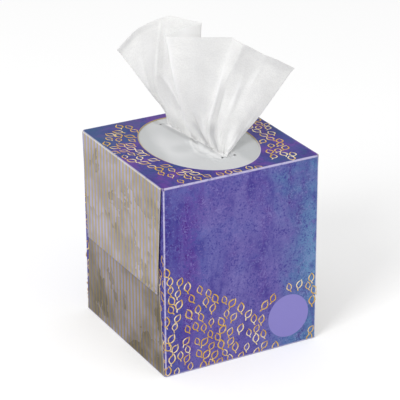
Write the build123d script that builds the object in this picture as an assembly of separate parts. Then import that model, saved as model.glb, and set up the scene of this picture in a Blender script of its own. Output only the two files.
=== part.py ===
from build123d import *
import os
from math import cos, radians, sin

os.makedirs("parts", exist_ok=True)

# An upright tissue box: a glued folding carton, a slit film window under its top, the bent pile of
# interfolded tissues, and the first tissue standing up out of the slit.
# The origin is the middle of the underside, +Z is up and -Y is the front. All sizes are millimetres.

# Carton board and blank
carton_width = 110.0
carton_depth = 110.0
carton_height = 126.0
board = 0.5
inner_fold_radius = 0.3
layer_gap = 0.1

# The mouth in the top panel, an ellipse
mouth_width = 69.2
mouth_length = 94.8

# Upper flap: the outermost one on each side, glued down last, its free edge a little proud
upper_flap_length = 71.5
upper_flap_lift = 0.6
upper_flap_fold_inset = 2.0
upper_flap_edge_inset = 7.0

# Lower flap: under the upper one, up from the bottom panel
lower_flap_length = 78.0
lower_flap_fold_inset = 1.5
lower_flap_edge_inset = 8.0

# Dust flaps: the innermost ones, from the front and the back panel
dust_flap_spacing = 14.0
dust_flap_fold_inset = 1.5
dust_flap_edge_inset = 6.0

# Glue tab along the lower back edge, inside the back panel
tab_height = 15.0
tab_end_inset = 4.0
tab_end_slant = 8.0
raw_edge_lift = 0.4

# Film window, bonded under the top panel
film = 0.1
film_side_margin = 12.0
film_end_margin = 1.0

# The slit in the film: a narrow lens, with a cross cut and two round stop holes at each end
slit_length = 70.0
slit_width = 3.8
slit_turn = 5.0
slit_shift_x = 1.1
slit_shift_y = 4.2
cross_cut_length = 9.0
cross_cut_width = 0.5
stop_hole = 1.5
# half widths of the lens along its length
lens_shares = [(0.0, 0.32), (0.06, 0.62), (0.2, 0.88), (0.5, 1.0), (0.8, 0.88), (0.94, 0.62), (1.0, 0.32)]

# Pile of tissues, bent double over its own middle
pile_wall_gap = 0.3
pile_side_gap = 1.1
head_space = 6.4
pile_shoulder = 30.0
pile_slot_width = 0.8
pile_slot_top = 62.0
leg_slant = 3.0
leg_flat = 18.0
layer_grooves = 7
groove_width = 0.5
groove_depth = 0.6

# The first tissue: a sheet folded in a flat Z, fanned above the slit and pleated in it
sheet = 0.35
tail_gap = 0.3
slit_end_gap = 2.0
lip_rise = 1.0
pleat_clearance = 0.7
plume_width = 109.0
plume_depth = 28.0
plume_height = 78.5
plume_turn = -28.6
# One row for each rib of the sheet, from the left edge round the Z fold to the right edge:
# (share of the slit, share of the pleat), then (across, toward the front, up) at the neck,
# at the fan and at the leading edge, as shares of the plume's width, depth and height
rib_shares = [
    [(0.00, 0.00), (-0.20, -0.86, 0.15), (-0.284, -0.54, 0.38), (-0.459, -0.21, 0.77)],
    [(0.07, -0.45), (-0.193, -0.68, 0.18), (-0.284, -0.50, 0.43), (-0.344, -0.36, 0.905)],
    [(0.14, 0.45), (-0.183, -0.64, 0.19), (-0.248, -0.54, 0.48), (-0.216, -0.57, 0.975)],
    [(0.22, -0.45), (-0.138, -0.46, 0.18), (-0.174, -0.50, 0.48), (-0.151, -0.50, 1.00)],
    [(0.30, 0.50), (-0.092, -0.36, 0.18), (-0.11, -0.43, 0.48), (-0.069, -0.46, 0.975)],
    [(0.42, 0.50), (-0.037, -0.21, 0.18), (-0.009, -0.32, 0.48), (0.018, -0.36, 0.955)],
    [(0.46, -0.10), (-0.055, -0.11, 0.18), (-0.064, -0.04, 0.47), (-0.073, -0.07, 0.95)],
    [(0.50, -0.60), (-0.073, 0.04, 0.17), (-0.124, 0.21, 0.47), (-0.183, 0.21, 0.917)],
    [(0.60, 0.40), (-0.018, 0.14, 0.17), (-0.055, 0.32, 0.47), (-0.073, 0.36, 0.93)],
    [(0.70, -0.50), (0.028, 0.21, 0.17), (0.028, 0.32, 0.47), (0.064, 0.39, 0.93)],
    [(0.80, 0.50), (0.055, 0.29, 0.17), (0.105, 0.21, 0.47), (0.188, 0.29, 0.913)],
    [(0.86, -0.50), (0.101, 0.46, 0.17), (0.151, 0.39, 0.46), (0.252, 0.43, 0.88)],
    [(0.91, 0.45), (0.128, 0.46, 0.15), (0.22, 0.25, 0.42), (0.362, 0.18, 0.77)],
    [(0.96, -0.30), (0.174, 0.43, 0.13), (0.294, 0.21, 0.357), (0.459, 0.07, 0.694)],
    [(1.00, 0.00), (0.216, 0.32, 0.07), (0.349, 0.11, 0.242), (0.541, -0.14, 0.608)],
]
rib_column_count = 3
neck_row_count = 4
fan_row_count = 5
edge_row_count = 6

# How far a cutting shape runs past what it cuts
overrun = 5.0

# Places worked out from the sizes above
layer = board + layer_gap
outer_fold_radius = inner_fold_radius + board
mid_fold_radius = inner_fold_radius + board / 2
dust_face = carton_width / 2 - 2 * layer
lower_face = carton_width / 2 - layer
upper_face = carton_width / 2
tube_end = dust_face - outer_fold_radius
flap_start = tube_end - outer_fold_radius
top_line = carton_height - board / 2
bottom_line = board / 2
wall_line = carton_depth / 2 - board / 2
tab_line = wall_line - layer
film_top = carton_height - board
film_bottom = film_top - film
slit_run = slit_length - 2 * slit_end_gap
pleat_depth = slit_width - sheet - 2 * pleat_clearance
pile_top = film_bottom - head_space
pile_half_depth = tab_line - board / 2 - pile_wall_gap
pile_half_width = dust_face - board - pile_side_gap


def folded_board(plane, points):
    """The section of a board folded at every inner point; points are on its middle line."""
    line = FilletPolyline(*points, radius=mid_fold_radius)
    return plane * trace(line, line_width=board)


def make_tube():
    """Back, top, front and bottom panels and the glue tab, as one folded strip."""
    points = [
        (wall_line, raw_edge_lift),
        (wall_line, top_line),
        (-wall_line, top_line),
        (-wall_line, bottom_line),
        (tab_line, bottom_line),
        (tab_line, tab_height),
    ]
    tube = extrude(folded_board(Plane.YZ, points), amount=tube_end, both=True)
    return tube - tab_ends()


def tab_ends():
    """What the slanted ends of the glue tab leave out."""
    start = tab_line - board / 2 - layer_gap / 2
    past_end = tube_end + overrun
    past_top = tab_height + overrun
    low_end = tube_end - tab_end_inset
    ends = []
    for side in (-1, 1):
        corners = [
            (side * past_end, outer_fold_radius),
            (side * low_end, outer_fold_radius),
            (side * (low_end - tab_end_slant), past_top),
            (side * past_end, past_top),
        ]
        face = Plane.XZ.offset(-start) * make_face(Polyline(*corners, close=True))
        ends.append(extrude(face, amount=-layer))
    return ends


def tapered(section, amount, plane, root, tip, half_root, half_tip):
    """A flap: its folded section run out both ways, then cut to the taper of its blank."""
    sign = 1 if tip > root else -1
    back = root - sign * overrun
    ahead = tip + sign * overrun
    blank = [(-half_root, back), (-half_root, root), (-half_tip, tip), (-half_tip, ahead)]
    blank += [(half_tip, ahead), (half_tip, tip), (half_root, root), (half_root, back)]
    outline = plane * make_face(Polyline(*blank, close=True))
    return extrude(section, amount=amount, both=True) & extrude(outline, amount=carton_width)


def make_upper_flap():
    """The outer flap on the +X side, down from the top panel, a little open at its free edge."""
    line_x = upper_face - board / 2
    tip = carton_height - upper_flap_length
    points = [(flap_start, top_line), (line_x, top_line), (line_x + upper_flap_lift, tip)]
    section = folded_board(Plane.XZ, points)
    half_root = carton_depth / 2 - upper_flap_fold_inset
    half_tip = carton_depth / 2 - upper_flap_edge_inset
    return tapered(section, carton_depth, Plane.YZ, film_top, tip, half_root, half_tip)


def make_lower_flap():
    """The flap under it on the +X side, up from the bottom panel."""
    line_x = lower_face - board / 2
    points = [(flap_start, bottom_line), (line_x, bottom_line), (line_x, lower_flap_length)]
    section = folded_board(Plane.XZ, points)
    half_root = carton_depth / 2 - lower_flap_fold_inset
    half_tip = carton_depth / 2 - lower_flap_edge_inset
    return tapered(section, carton_depth, Plane.YZ, board, lower_flap_length, half_root, half_tip)


def make_dust_flap():
    """The innermost flap on the +X side of the front panel."""
    line_x = dust_face - board / 2
    tip = -dust_flap_spacing / 2
    points = [(flap_start, -wall_line), (line_x, -wall_line), (line_x, tip)]
    section = Pos(Z=carton_height / 2) * folded_board(Plane.XY, points)
    half_root = carton_height / 2 - dust_flap_fold_inset
    half_tip = carton_height / 2 - dust_flap_edge_inset
    upright = Plane(origin=(0, 0, carton_height / 2), x_dir=(0, 0, 1), z_dir=(1, 0, 0))
    root = board - carton_depth / 2
    return tapered(section, carton_height, upright, -root, -tip, half_root, half_tip)


def make_carton():
    """The whole blank, folded and glued: one piece of board."""
    carton = make_tube()
    front_dust = make_dust_flap()
    back_dust = mirror(front_dust, about=Plane.XZ)
    for flap in (front_dust, back_dust, make_lower_flap(), make_upper_flap()):
        carton += flap
        carton += mirror(flap, about=Plane.YZ)
    mouth = Plane.XY.offset(film_top) * Ellipse(mouth_width / 2, mouth_length / 2)
    return carton - extrude(mouth, amount=board, both=True)


def on_slit(share, across):
    """A place on the slit: a share of its length from the back end, and a distance to its left."""
    along = slit_length * (0.5 - share)
    turn = radians(slit_turn)
    x = slit_shift_x - along * sin(turn) - across * cos(turn)
    y = slit_shift_y + along * cos(turn) - across * sin(turn)
    return x, y


def make_slit():
    """The lens of the slit with its cross cuts and stop holes, as one flat face."""
    left = [on_slit(share, half * slit_width / 2) for share, half in lens_shares]
    right = [on_slit(share, -half * slit_width / 2) for share, half in reversed(lens_shares)]
    outline = [Spline(*left), Line(left[-1], right[0]), Spline(*right), Line(right[-1], left[0])]
    slit = make_face(outline)
    for end in (0, 1):
        middle = on_slit(end, 0)
        slit += Pos(*middle) * Rot(Z=slit_turn) * Rectangle(cross_cut_length, cross_cut_width)
        for side in (-1, 1):
            slit += Pos(*on_slit(end, side * cross_cut_length / 2)) * Circle(stop_hole / 2)
    return slit


def make_film():
    """The clear window, face to face with the underside of the top panel."""
    width = carton_width - 2 * film_side_margin
    length = carton_depth - 2 * board - 2 * film_end_margin
    window = Rectangle(width, length) - make_slit()
    return extrude(Plane.XY.offset(film_bottom) * window, amount=film)


def pile_outline(inset):
    """The arched section of the pile, inset all round but at its foot."""
    half = pile_half_depth - inset
    crown = pile_top - inset
    radius = pile_shoulder - inset
    corners = [(-half, board), (-half, crown), (half, crown), (half, board)]
    arch = make_face(Polyline(*corners, close=True))
    shoulders = arch.vertices().sort_by(Axis.Y)[-2:]
    return fillet(shoulders, radius) if radius > 0 else arch


def pile_feet():
    """What the slant under each leg leaves out: the outer layers hang a little higher."""
    feet = []
    for side in (-1, 1):
        corner = (side * pile_half_depth, board)
        wedge = [(side * leg_flat, board), (side * pile_half_depth, board + leg_slant), corner]
        feet.append(make_face(Polyline(*wedge, close=True)))
    return feet


def make_pile():
    """The interfolded tissues as one block, its two legs side by side under one crown."""
    slot_height = pile_slot_top - board
    slot = Pos(Y=board + slot_height / 2) * Rectangle(pile_slot_width, slot_height)
    section = pile_outline(0) - slot - pile_feet()
    pile = extrude(Plane.YZ * section, amount=pile_half_width, both=True)
    step = (pile_half_depth - pile_slot_width / 2) / (layer_grooves + 1)
    for number in range(1, layer_grooves + 1):
        inset = number * step
        groove = pile_outline(inset) - pile_outline(inset + groove_width)
        for side in (-1, 1):
            place = Plane.YZ.offset(side * (pile_half_width - groove_depth / 2))
            pile -= extrude(place * groove, amount=groove_depth / 2, both=True)
    return pile


def plume_place(shares):
    """A place in the plume, from its shares across, toward the front and up."""
    across = shares[0] * plume_width
    toward = shares[1] * plume_depth
    turn = radians(plume_turn)
    x = across * cos(turn) + toward * sin(turn)
    y = across * sin(turn) - toward * cos(turn)
    return Vector(x, y, film_top + shares[2] * plume_height)


def rib_places(rib):
    """One rib of the sheet: its tail, the slit, the lip over it, the neck, the fan and the edge."""
    along, pleat = rib[0]
    share = (slit_end_gap + along * slit_run) / slit_length
    x, y = on_slit(share, pleat * pleat_depth)
    heights = (pile_top + tail_gap, film_bottom - lip_rise, film_top + lip_rise)
    places = [Vector(x, y, height) for height in heights]
    return places + [plume_place(shares) for shares in rib[1:]]


def smooth(places, counts):
    """Places along a smooth curve through the given ones, counts[i] steps in the span i."""
    before = [places[0]] + list(places[:-1])
    after = list(places[1:]) + [places[-1]]
    slopes = [(right - left) / 2 for left, right in zip(before, after)]
    run = []
    for span, count in enumerate(counts):
        for step in range(count):
            t = step / count
            ease = t * t * (3 - 2 * t)
            start = places[span] * (1 - ease) + slopes[span] * (t * (1 - t) ** 2)
            end = places[span + 1] * ease - slopes[span + 1] * (t * t * (1 - t))
            run.append(start + end)
    return run + [places[-1]]


def sheet_normals(grid):
    """The sheet's direction of thickness at each place of the grid."""
    rows, columns = len(grid), len(grid[0])
    normals = [[Vector(0, 0, 0) for _ in range(columns)] for _ in range(rows)]
    for i in range(rows - 1):
        for j in range(columns - 1):
            corners = [(i, j), (i, j + 1), (i + 1, j + 1), (i + 1, j)]
            across = grid[i + 1][j + 1] - grid[i][j]
            other = grid[i + 1][j] - grid[i][j + 1]
            facing = across.cross(other).normalized()
            for row, column in corners:
                normals[row][column] = normals[row][column] + facing
    return [[normal.normalized() for normal in row] for row in normals]


def triangles(a, b, c, d):
    """Two flat faces for the quad a, b, c, d."""
    return [Face(Wire.make_polygon([a, b, c])), Face(Wire.make_polygon([a, c, d]))]


def make_sheet(grid, thickness):
    """A closed solid of even thickness about a grid of places."""
    normals = sheet_normals(grid)
    sides = []
    for sign in (1, -1):
        side = [[place + normal * (sign * thickness / 2) for place, normal in zip(*pair)]
                for pair in zip(grid, normals)]
        sides.append(side)
    one, two = sides
    rows, columns = len(grid), len(grid[0])
    faces = []
    for i in range(rows - 1):
        for j in range(columns - 1):
            faces += triangles(one[i][j], one[i][j + 1], one[i + 1][j + 1], one[i + 1][j])
            faces += triangles(two[i][j], two[i + 1][j], two[i + 1][j + 1], two[i][j + 1])
    for i in range(rows - 1):
        for j in (0, columns - 1):
            faces += triangles(one[i][j], one[i + 1][j], two[i + 1][j], two[i][j])
    for j in range(columns - 1):
        for i in (0, rows - 1):
            faces += triangles(one[i][j], one[i][j + 1], two[i][j + 1], two[i][j])
    return Solid(Shell(faces))


def make_tissue():
    """The first tissue, from its tail on the pile to its leading edge."""
    row_counts = [1, 1, neck_row_count, fan_row_count, edge_row_count]
    ribs = [smooth(rib_places(rib), row_counts) for rib in rib_shares]
    column_counts = [rib_column_count] * (len(rib_shares) - 1)
    grid = [smooth(row, column_counts) for row in zip(*ribs)]
    return make_sheet(grid, sheet)


export_step(make_carton(), "parts/carton.step")
export_step(make_film(), "parts/film_window.step")
export_step(make_pile(), "parts/tissue_clip.step")
export_step(make_tissue(), "parts/pop_up_tissue.step")
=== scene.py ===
"""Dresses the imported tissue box: printed carton, gold leaf print, film window, pile and first tissue."""

import math
import random
from functools import partialmethod

import bmesh
import bpy
from bpy.props import FloatProperty, FloatVectorProperty, IntProperty, PointerProperty
from mathutils import Matrix, Vector, noise


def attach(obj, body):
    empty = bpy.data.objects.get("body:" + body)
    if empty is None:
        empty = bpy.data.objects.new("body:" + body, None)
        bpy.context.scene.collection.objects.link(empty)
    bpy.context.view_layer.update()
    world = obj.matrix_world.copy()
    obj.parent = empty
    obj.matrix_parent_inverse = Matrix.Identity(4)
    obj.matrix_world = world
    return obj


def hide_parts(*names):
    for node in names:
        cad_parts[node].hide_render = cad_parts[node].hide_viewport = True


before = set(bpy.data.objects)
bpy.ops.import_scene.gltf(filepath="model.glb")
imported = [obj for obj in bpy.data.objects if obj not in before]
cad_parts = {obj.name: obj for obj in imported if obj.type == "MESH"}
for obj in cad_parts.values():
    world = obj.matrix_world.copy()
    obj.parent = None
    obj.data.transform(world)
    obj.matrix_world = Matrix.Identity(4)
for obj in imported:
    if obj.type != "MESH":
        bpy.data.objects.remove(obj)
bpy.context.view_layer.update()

bl_info = {
    "name": "Tissue box",
    "version": (1, 0, 0),
    "blender": (4, 5, 0),
    "location": "View3D > Sidebar > Tissue box",
    "description": "Prints the carton, lays its film window and raises the first tissue",
    "category": "Object",
}

MM = 0.001

# Places of the carton, in millimetres, as in its frame
HALF_WIDTH = 55.0
HALF_DEPTH = 55.0
HEIGHT = 126.0
BOARD = 0.5
FOLD_RADIUS = 0.8
FLAP_EDGE = 54.5
DUST_FACE = 53.8
MOUTH_HALF_WIDTH = 34.6
MOUTH_HALF_LENGTH = 47.4

# Webs that close the corners: their size, and how far their middles are inside the carton's faces
WEB_SIZE = (0.4, 2.4, 1.6)
WEB_INSET = (1.5, 1.7, 1.2)

# Slit in the film
SLIT_LENGTH = 70.0
SLIT_WIDTH = 3.8
SLIT_OPENING = 0.12
SLIT_TURN = math.radians(5.0)
SLIT_SHIFT = (1.1, 4.2)
SLIT_LENS = [(0.0, 0.32), (0.06, 0.62), (0.2, 0.88), (0.5, 1.0), (0.8, 0.88), (0.94, 0.62), (1.0, 0.32)]
CROSS_CUT_LENGTH = 9.0
CROSS_CUT_WIDTH = 0.2
STOP_HOLE = 1.5
CUTTER_HEIGHTS = (12, 13)

# The film and the grid that it is made of, whose columns crowd toward the slit
FILM_TOP = 125.5
FILM_BOTTOM = 125.4
FILM_HALF_WIDTH = 43.0
FILM_HALF_LENGTH = 53.5
FILM_ROWS = 150
FILM_COLUMNS = 54
FILM_CROWDING = 1.45
# Middles of the film's haze at the left and of a patch of painted shade beside the crumples
HAZE_MIDDLE = (-17.5, 2.0)
SHADE_PATCH_MIDDLE = (-13.0, -4.0)
# Corners of the film that are nearer than this are one, in metres
WELD = 0.00001

# The first tissue
PLUME_WIDTH = 109.0
PLUME_DEPTH = 28.0
PLUME_HEIGHT = 78.5
PLUME_TURN = math.radians(-28.6)
SLIT_END_GAP = 2.0
PLEAT_DEPTH = 2.05
PILE_TOP = 119.0
TAIL_REACH = 10.0
TAIL_LIFT = 0.3
SMALL_PLEATS = 36
CREASES = 46
CREASE_SEED = 11
# Over which part of its length a fold or a line of painted light and shade fades, at its top and at its
# bottom
FOLD_FADES = (0.45, 0.3)
PAINTED_LIGHT_AND_SHADE_FADES = (0.35, 0.3)
# One row for each rib of the sheet, from its left edge round the Z fold to its right edge:
# (share of the slit, share of the pleat), then (across, toward the front, up) at the neck,
# at the fan and at the leading edge, as shares of the plume's width, depth and height
RIBS = [
    [(0.00, 0.00), (-0.20, -0.86, 0.15), (-0.284, -0.58, 0.374), (-0.459, -0.50, 0.725)],
    [(0.07, -0.45), (-0.193, -0.68, 0.18), (-0.284, -0.50, 0.43), (-0.344, -0.43, 0.905)],
    [(0.14, 0.45), (-0.183, -0.64, 0.19), (-0.248, -0.53, 0.48), (-0.216, -0.54, 0.975)],
    [(0.22, -0.45), (-0.138, -0.46, 0.18), (-0.174, -0.50, 0.48), (-0.151, -0.50, 1.00)],
    [(0.30, 0.50), (-0.092, -0.36, 0.18), (-0.11, -0.43, 0.48), (-0.069, -0.46, 0.975)],
    [(0.42, 0.50), (-0.037, -0.21, 0.18), (-0.009, -0.32, 0.48), (0.018, -0.36, 0.955)],
    [(0.46, -0.10), (-0.055, -0.11, 0.18), (-0.064, -0.04, 0.47), (-0.073, -0.07, 0.95)],
    [(0.50, -0.15), (-0.073, 0.04, 0.17), (-0.124, 0.21, 0.47), (-0.183, 0.21, 0.917)],
    [(0.60, 0.40), (-0.018, 0.14, 0.17), (-0.055, 0.32, 0.47), (-0.073, 0.36, 0.93)],
    [(0.70, -0.50), (0.028, 0.21, 0.17), (0.028, 0.32, 0.47), (0.064, 0.39, 0.93)],
    [(0.80, 0.50), (0.055, 0.42, 0.17), (0.105, 0.38, 0.47), (0.188, 0.29, 0.913)],
    [(0.86, -0.50), (0.101, 0.36, 0.17), (0.151, 0.30, 0.46), (0.252, 0.43, 0.88)],
    [(0.91, 0.45), (0.128, 0.46, 0.15), (0.22, 0.25, 0.42), (0.362, 0.18, 0.77)],
    [(0.97, -0.30), (0.195, 0.43, 0.11), (0.294, 0.21, 0.357), (0.459, 0.07, 0.694)],
    [(1.02, 0.00), (0.222, 0.34, 0.052), (0.345, 0.11, 0.242), (0.541, -0.14, 0.608)],
]
# How sharply the sheet is folded at some of its ribs, from 0 to 1
SHARP_RIBS = [(1, 0.4), (2, 0.3), (5, 0.3), (7, 0.6), (10, 0.9), (11, 0.8)]
ROW_COUNTS = [3, 4, 18, 24, 30]
RIB_COLUMNS = 14

# Folds of the fan: places on a fold's line as (share of the height, rib), then how far the fold stands
# toward the viewer in millimetres, and how many ribs wide it is at its left and at its right
FOLDS = [
    ([(1.0, 1.0), (0.7, 1.05), (0.4, 1.4)], 0.5, 1.0, 0.9),
    ([(1.0, 2.12), (0.85, 2.17), (0.5, 2.2)], 0.4, 0.10, 0.10),
    ([(1.0, 2.5), (0.8, 2.55), (0.5, 2.7)], -0.6, 0.3, 0.6),
    ([(0.62, 2.75), (0.53, 3.2), (0.38, 3.8), (0.2, 4.6)], -1.5, 1.3, 0.2),
    ([(0.5, 1.6), (0.3, 1.9), (0.0, 2.0)], 0.8, 0.5, 0.4),
    ([(1.0, 7.12), (0.6, 7.2), (0.1, 7.3)], 0.5, 0.14, 0.4),
    ([(0.8, 7.9), (0.5, 7.95), (0.2, 7.9)], -0.6, 0.5, 0.6),
    ([(0.9, 8.6), (0.55, 8.9), (0.4, 9.0), (0.25, 9.35), (0.05, 9.4)], 1.2, 0.9, 0.4),
    ([(0.45, 7.9), (0.2, 8.3), (0.0, 8.6)], -1.6, 0.4, 0.3),
    ([(1.0, 10.0), (0.75, 10.0), (0.6, 9.98)], -0.5, 0.6, 0.3),
    ([(1.0, 10.97), (0.8, 10.85), (0.62, 10.5)], 0.7, 0.9, 0.2),
    ([(0.88, 11.1), (0.6, 11.0), (0.3, 11.0)], -0.5, 0.7, 0.6),
    ([(0.84, 10.15), (0.6, 10.0), (0.3, 9.95), (0.12, 10.0), (0.0, 10.1)], 0.9, 0.16, 0.7),
    ([(0.95, 11.4), (0.78, 11.6), (0.65, 11.75), (0.5, 12.0), (0.2, 12.1)], 0.9, 0.6, 0.22),
    ([(0.9, 11.95), (0.65, 12.1), (0.4, 12.3)], -0.5, 0.2, 0.6),
    ([(1.0, 12.2), (0.85, 12.3), (0.7, 12.4)], 0.5, 0.25, 0.12),
    ([(0.8, 13.0), (0.5, 13.1), (0.2, 13.0)], 0.7, 0.7, 0.7),
    ([(0.36, 13.3), (0.15, 13.3), (0.0, 13.4)], 1.2, 0.25, 0.6),
    ([(0.4, 12.5), (0.12, 12.7), (0.0, 12.9)], -1.6, 0.5, 0.2),
]

# Painted highlights and painted shade on the sheet, along its folds, creases and hollows: a line as above,
# how much paler it is, or darker when below 0,
# and how many ribs wide it is at its left and at its right; a line with one more number ends abruptly
PAINTED_LIGHT_AND_SHADE = [
    ([(0.625, 2.3), (0.53, 2.9), (0.42, 3.5), (0.25, 4.2)], -0.55, 0.8, 0.10, 0.1),
    ([(0.615, 2.45), (0.53, 3.05), (0.42, 3.62), (0.3, 4.1)], 1.0, 0.07, 0.14, 0.1),
    ([(0.95, 1.5), (0.7, 1.6), (0.45, 1.8)], 0.7, 0.4, 0.4),
    ([(1.0, 0.6), (0.92, 0.6)], -0.5, 0.8, 0.9),
    ([(1.0, 6.0), (0.8, 6.0), (0.5, 6.0)], 1.0, 0.8, 0.8),
    ([(1.0, 7.06), (0.6, 7.08), (0.15, 7.1)], 1.1, 0.1, 0.16),
    ([(0.3, 7.0), (0.15, 7.4), (0.0, 8.3)], 1.0, 0.3, 0.2),
    ([(0.33, 7.7), (0.15, 8.2), (0.0, 8.8)], -1.0, 0.25, 0.35),
    ([(0.18, 8.25), (0.08, 8.35), (0.0, 8.5)], -0.9, 0.06, 0.2),
    ([(0.14, 1.0), (0.0, 1.6)], 1.0, 1.0, 0.7),
    ([(0.35, 9.1), (0.15, 9.3), (0.0, 9.6)], 0.8, 0.35, 0.3),
    ([(0.95, 10.0), (0.6, 9.98), (0.25, 9.95)], 0.7, 0.10, 0.14),
    ([(0.97, 11.1), (0.86, 11.1), (0.70, 11.3)], -0.2, 0.5, 0.9),
    ([(0.84, 10.6), (0.6, 10.5), (0.3, 10.45)], 0.35, 0.3, 0.5),
    ([(1.0, 8.6), (0.3, 8.6)], -0.25, 1.2, 1.2),
    ([(0.36, 10.1), (0.2, 10.35), (0.1, 10.6), (0.0, 11.2)], -1.4, 0.2, 0.5),
    ([(0.78, 11.62), (0.62, 11.72), (0.42, 11.8)], 0.8, 0.10, 0.14),
    ([(0.86, 12.2), (0.74, 12.3), (0.66, 12.3)], 0.6, 0.10, 0.12),
    ([(1.0, 12.8), (0.9, 12.8)], -0.3, 1.4, 1.3),
    ([(0.4, 13.8), (0.15, 13.6), (0.0, 13.5)], 1.2, 0.5, 0.6),
]

# Crumples of the film: places on each one's line in millimetres, its height and its width
FILM_FOLDS = [
    ([(-2.6, 38.0), (-2.9, 26.4), (-2.6, 15.0), (-3.0, 7.8)], 0.9, 1.1),
    ([(-3.0, 7.8), (-5.4, 0.0), (-8.8, -12.4), (-8.4, -19.3)], 0.8, 1.0),
    ([(-2.0, 5.0), (-4.0, -6.0), (-6.2, -14.0), (-5.8, -22.0)], -0.4, 1.2),
    ([(-2.9, -5.0), (-0.2, -12.8), (1.2, -22.9)], 0.7, 1.1),
    ([(-2.0, -2.0), (-3.5, -13.0), (-3.0, -24.0), (-1.0, -28.0)], 0.6, 1.3),
    ([(-1.6, -32.1), (2.0, -32.6), (5.7, -31.6)], 0.5, 0.8),
    ([(-5.0, -20.0), (-5.6, -26.8), (-5.0, -29.5)], 0.4, 1.2),
    ([(23.7, -8.0), (27.0, -15.0), (25.9, -21.2)], 0.35, 1.6),
    ([(12.0, -22.0), (18.0, -27.0), (24.0, -29.0)], 0.3, 1.8),
    ([(9.0, 2.0), (17.0, -6.0), (24.0, -4.0)], 0.3, 2.0),
]

# How far the bank, whitened with painted highlight, reaches from the slit: (share of the slit's length,
# millimetres)
BANK_REACH = [(0.0, 2.0), (0.48, 2.0), (0.55, 9.0), (0.74, 14.0), (0.89, 13.0), (1.0, 7.5)]

# Areas that the gold leaves cover, as corners on each panel in millimetres
FRONT_BAND = [(-53, 1), (53, 1), (53, 44), (44, 46), (30, 41), (18, 33), (8, 28), (-4, 32), (-16, 36),
              (-27, 44), (-36, 57), (-44, 66), (-53, 72)]
BACK_BAND = [(-53, 1), (53, 1), (53, 44), (36, 36), (18, 22), (0, 18), (-20, 24), (-38, 34), (-53, 30)]

# Where the gold print ends on a panel, a limit that trims nothing, and the strips of print on the dust
# flaps: where they begin, their foot and their head
PRINT_EDGE = 54.2
UNTRIMMED = 60.0
DUST_STRIP = (46.0, 4.0, 84.0)
# The print round the mouth: its inner and outer edges as shares of the mouth, how far it may reach,
# and for each of its parts the angles between which it lies and the way its leaves grow
RING_EDGES = (1.08, 1.50)
RING_LIMIT = 53.3
RING_STEPS = 24
RING_PARTS = [((-48, 68), (0.35, 1.0, 0.0)), ((128, 284), (-0.3, 1.0, 0.0))]

# The drawn leaves: how far each may lean, their least and greatest size, how flat they lie, and at
# most how many there are on a square metre
LEAF_LEAN = 0.6
LEAF_SIZES = (0.82, 1.1)
LEAF_FLATNESS = 0.11
MOST_LEAVES = 200000.0

# Shades that a user doesn't change, as linear red, green and blue
BLOOM_BLUE = (0.19, 0.36, 0.56)
STRIP_NAVY = (0.048, 0.066, 0.29)
FLECK_PURPLE = (0.058, 0.012, 0.18)
PALE_GRAIN = (0.30, 0.28, 0.58)
TOP_TINT = (0.42, 0.42, 0.68)
TOP_PURPLE = (0.125, 0.042, 0.285)
TOP_NAVY = (0.022, 0.060, 0.20)
TOP_TEAL = (0.022, 0.095, 0.19)
LOW_FLAP_INK_AND_SHADE = (0.50, 0.48, 0.43)
FLAP_SHADOW = (0.12, 0.11, 0.12)
BOARD_FIBRE = (0.42, 0.39, 0.33)
FLAP_FOLD_WEAR_AND_HIGHLIGHT = (0.80, 0.77, 0.70)
RIM_FIBRE_AND_HIGHLIGHT = (0.62, 0.60, 0.64)
RIM_OCHRE = (0.47, 0.34, 0.13)
THIN_GOLD = (0.42, 0.27, 0.10)
CLEAR_AND_SHADED_FILM = (0.50, 0.515, 0.52)
WHITENED_AND_HIGHLIT_FILM = (0.84, 0.84, 0.84)
SHADED_FILM = (0.42, 0.425, 0.43)
FILM_PAINTED_LIGHT_AT_SLIT = (0.92, 0.92, 0.92)
PAPER_FLOCK = (0.82, 0.82, 0.82)
PAPER_CREPE = (0.72, 0.72, 0.72)
PAPER_PAINTED_HIGHLIGHT = (0.98, 0.98, 0.98)
PAPER_PAINTED_SHADE = (0.74, 0.74, 0.745)
PAPER_LAYER = (0.7, 0.7, 0.71)

# The stage, in metres: floor, lamps with their place and size, and what the camera looks at
FLOOR_HALF = 6.0
FLOOR_DROP = 0.0001
FLOOR_GLOW = 0.26
LAMP_AIM = Vector((0, 0, 0.1))
KEY_LAMP = ((-1.45, -0.75, 1.35), 0.7)
FILL_LAMP = ((0.7, -1.7, 0.9), 1.2)
CAMERA_TARGET = Vector((0.000773, 0, 0.086458))
SENSOR_WIDTH = 36


# Colours and numbers

def colour(code):
    """Linear red, green and blue of a colour that is written as six hexadecimal digits."""
    parts = [int(code[place:place + 2], 16) / 255 for place in (0, 2, 4)]
    return tuple(part / 12.92 if part <= 0.04045 else ((part + 0.055) / 1.055) ** 2.4 for part in parts)


def ramp_up(low, high, value):
    """0 below low, 1 above high and a smooth rise between them."""
    share = min(max((value - low) / (high - low), 0), 1)
    return share * share * (3 - 2 * share)


def hump(start, top, drop, end, value):
    """1 between top and drop, 0 before start and past end, smooth between."""
    return ramp_up(start, top, value) * (1 - ramp_up(drop, end, value))


def bell(offset, width):
    """1 where there is no offset, with a soft fall to 0 on both sides."""
    return math.exp(-(offset / width) ** 2)


def waver(x, y, z):
    """Smooth noise about 0."""
    return noise.noise(Vector((x, y, z)))


def ink(name, description, code):
    """A colour that a user can change."""
    return FloatVectorProperty(
        name=name, description=description, default=colour(code), subtype="COLOR", size=3, min=0, max=1
    )


def length(name, description, millimetres):
    """A length that a user can change."""
    return FloatProperty(name=name, description=description, default=millimetres * MM, unit="LENGTH", min=0)


def angle(name, description, degrees):
    """An angle that a user can change."""
    return FloatProperty(name=name, description=description, default=math.radians(degrees), subtype="ANGLE")


def power(name, description, watts):
    """A lamp's power that a user can change."""
    return FloatProperty(name=name, description=description, default=watts, min=0, unit="POWER")


# Node trees

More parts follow.
